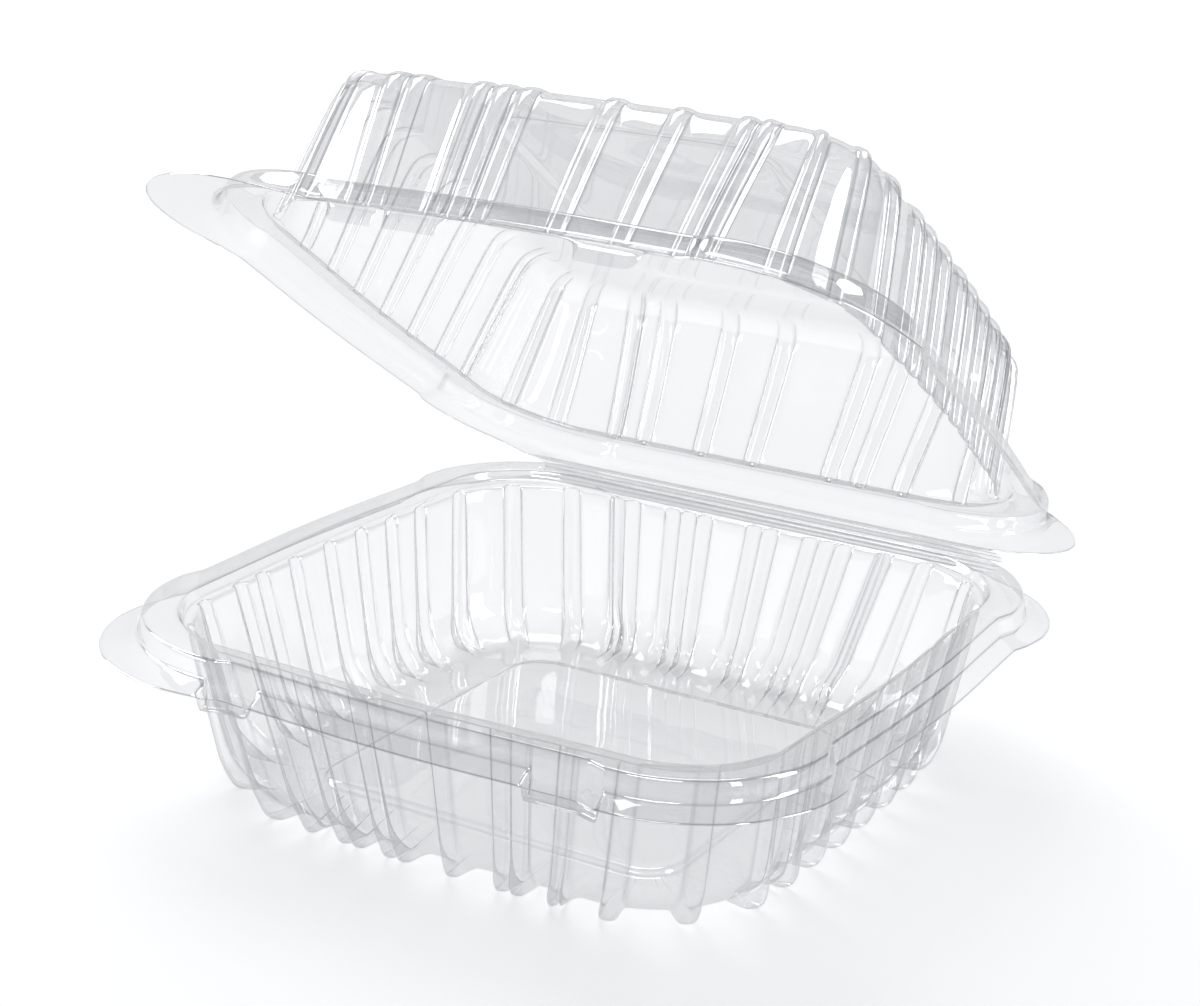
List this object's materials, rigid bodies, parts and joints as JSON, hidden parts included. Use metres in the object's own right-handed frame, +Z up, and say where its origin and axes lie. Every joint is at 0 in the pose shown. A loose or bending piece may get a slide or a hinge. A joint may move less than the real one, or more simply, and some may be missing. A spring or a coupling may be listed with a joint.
{
  "type": "hinged takeaway container",
  "caption": "Empty clear hinged takeaway container: ribbed tray and ribbed domed lid with a raised bead, eared lips and a fold at the back.",
  "frame": {"origin": "centre of the whole object's box, with the lid open as shown, on the surface it stands on", "axes": "+X to the right as seen from the front, +Y towards the fold at the back, +Z up"},
  "size_m": [0.166, 0.1708, 0.1435],
  "materials": {
    "clear_sheet": "clear thermoformed PET sheet, smooth and glossy, faint cool grey where it is seen edge on"
  },
  "bodies": {
    "base": {"base": "clear_sheet"},
    "lid": {"lid": "clear_sheet"}
  },
  "joints": [
    {"name": "lid_fold", "type": "hinge", "parent": "base", "child": "lid", "pos_m": [0.00168, 0.08525, 0.0316], "axis": [-1, 0, 0], "range_deg": [-32.5, 137]}
  ]
}
